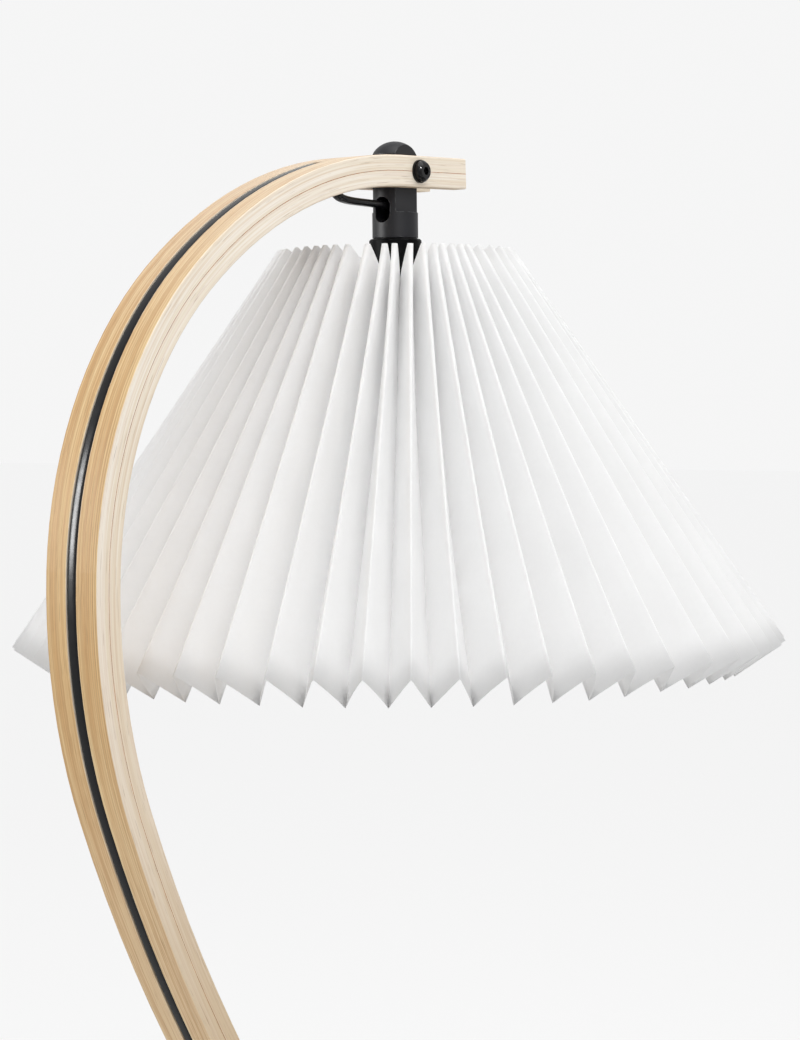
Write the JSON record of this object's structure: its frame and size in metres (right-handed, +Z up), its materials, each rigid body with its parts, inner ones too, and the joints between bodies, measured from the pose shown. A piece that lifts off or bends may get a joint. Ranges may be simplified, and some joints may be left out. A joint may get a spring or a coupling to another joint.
{
  "type": "pleated paper shade table lamp with a laminated bow arm",
  "caption": "Table lamp with a wide white pleated paper shade that tilts in the forked tip of a curved, two-layer oak bow, with a black cord in a groove down its back.",
  "frame": {"origin": "middle of the foot's resting face, straight below the tilt screw", "axes": "+Z up, +X from the bow's back towards the fork's tip, +Y to the left seen from the bow's back; the bow lies in the XZ plane"},
  "size_m": [0.447, 0.3998, 0.6964],
  "materials": {
    "brass": "plain",
    "collar_black": "moulded black",
    "cord_black": "soft black sheath",
    "core_brown": "thin insulation",
    "filament": "yellow phosphor strips",
    "glass_clear": "clear",
    "glue": "dark glue line between the two layers",
    "holder_black": "black heat-proof moulding",
    "housing_black": "matt dark grey powder coat",
    "iron_black": "black powder coat",
    "nickel": "nickel plated",
    "oak": "clear matt lacquer over pale oak",
    "pad_black": "thin foamed rubber sheet",
    "paper_white": "plain white pleated paper",
    "screw_black": "glossy black",
    "steel": "zinc plated",
    "switch_black": "fine grained",
    "thread_white": "white cotton",
    "tie_black": "soft strap",
    "wire_white": "white wire"
  },
  "bodies": {
    "stand": {"arm_outer_lamination": "oak", "arm_inner_lamination": "oak", "arm_glue_line": "glue", "arm_lead": "cord_black", "head_lead": "cord_black", "free_cord": "cord_black", "switch_lead": "cord_black", "cord_coil": "cord_black", "cord_tail": "cord_black", "switch_cord_ends": "cord_black", "base_casting": "iron_black", "base_pad": "pad_black", "clamp_screws": "steel", "cord_clamp": "steel", "foot_screws": "screw_black", "strain_relief": "cord_black", "pivot_nut": "screw_black", "pivot_screw": "screw_black", "pivot_washers": "screw_black", "coil_tie": "tie_black", "plug_body": "switch_black", "plug_pins": "nickel", "switch_lower_shell": "switch_black", "switch_upper_shell": "switch_black", "switch_screws": "steel", "switch_contacts": "brass"},
    "head": {"bulb_cap": "nickel", "bulb_filaments": "filament", "bulb_glass": "glass_clear", "bulb_stem": "glass_clear", "centre_contact": "brass", "friction_washers": "steel", "gathering_thread": "thread_white", "head_housing": "housing_black", "holder_cores": "core_brown", "holder_insulator": "holder_black", "pleated_shade": "paper_white", "ring_nut": "holder_black", "shade_carrier": "wire_white", "terminal_screws": "brass", "threaded_shell": "brass", "shade_collar": "collar_black"},
    "rocker": {"switch_rocker": "switch_black"}
  },
  "joints": [
    {"name": "head_tilt", "type": "hinge", "parent": "stand", "child": "head", "pos_m": [0, 0, 0.68], "axis": [0, -1, 0], "range_deg": [-5, 30], "deforming": ["head_lead"]},
    {"name": "switch_rock", "type": "hinge", "parent": "stand", "child": "rocker", "pos_m": [-0.049, 0.1585, 0.0128], "axis": [0, 1, 0], "range_deg": [0, 16]}
  ]
}
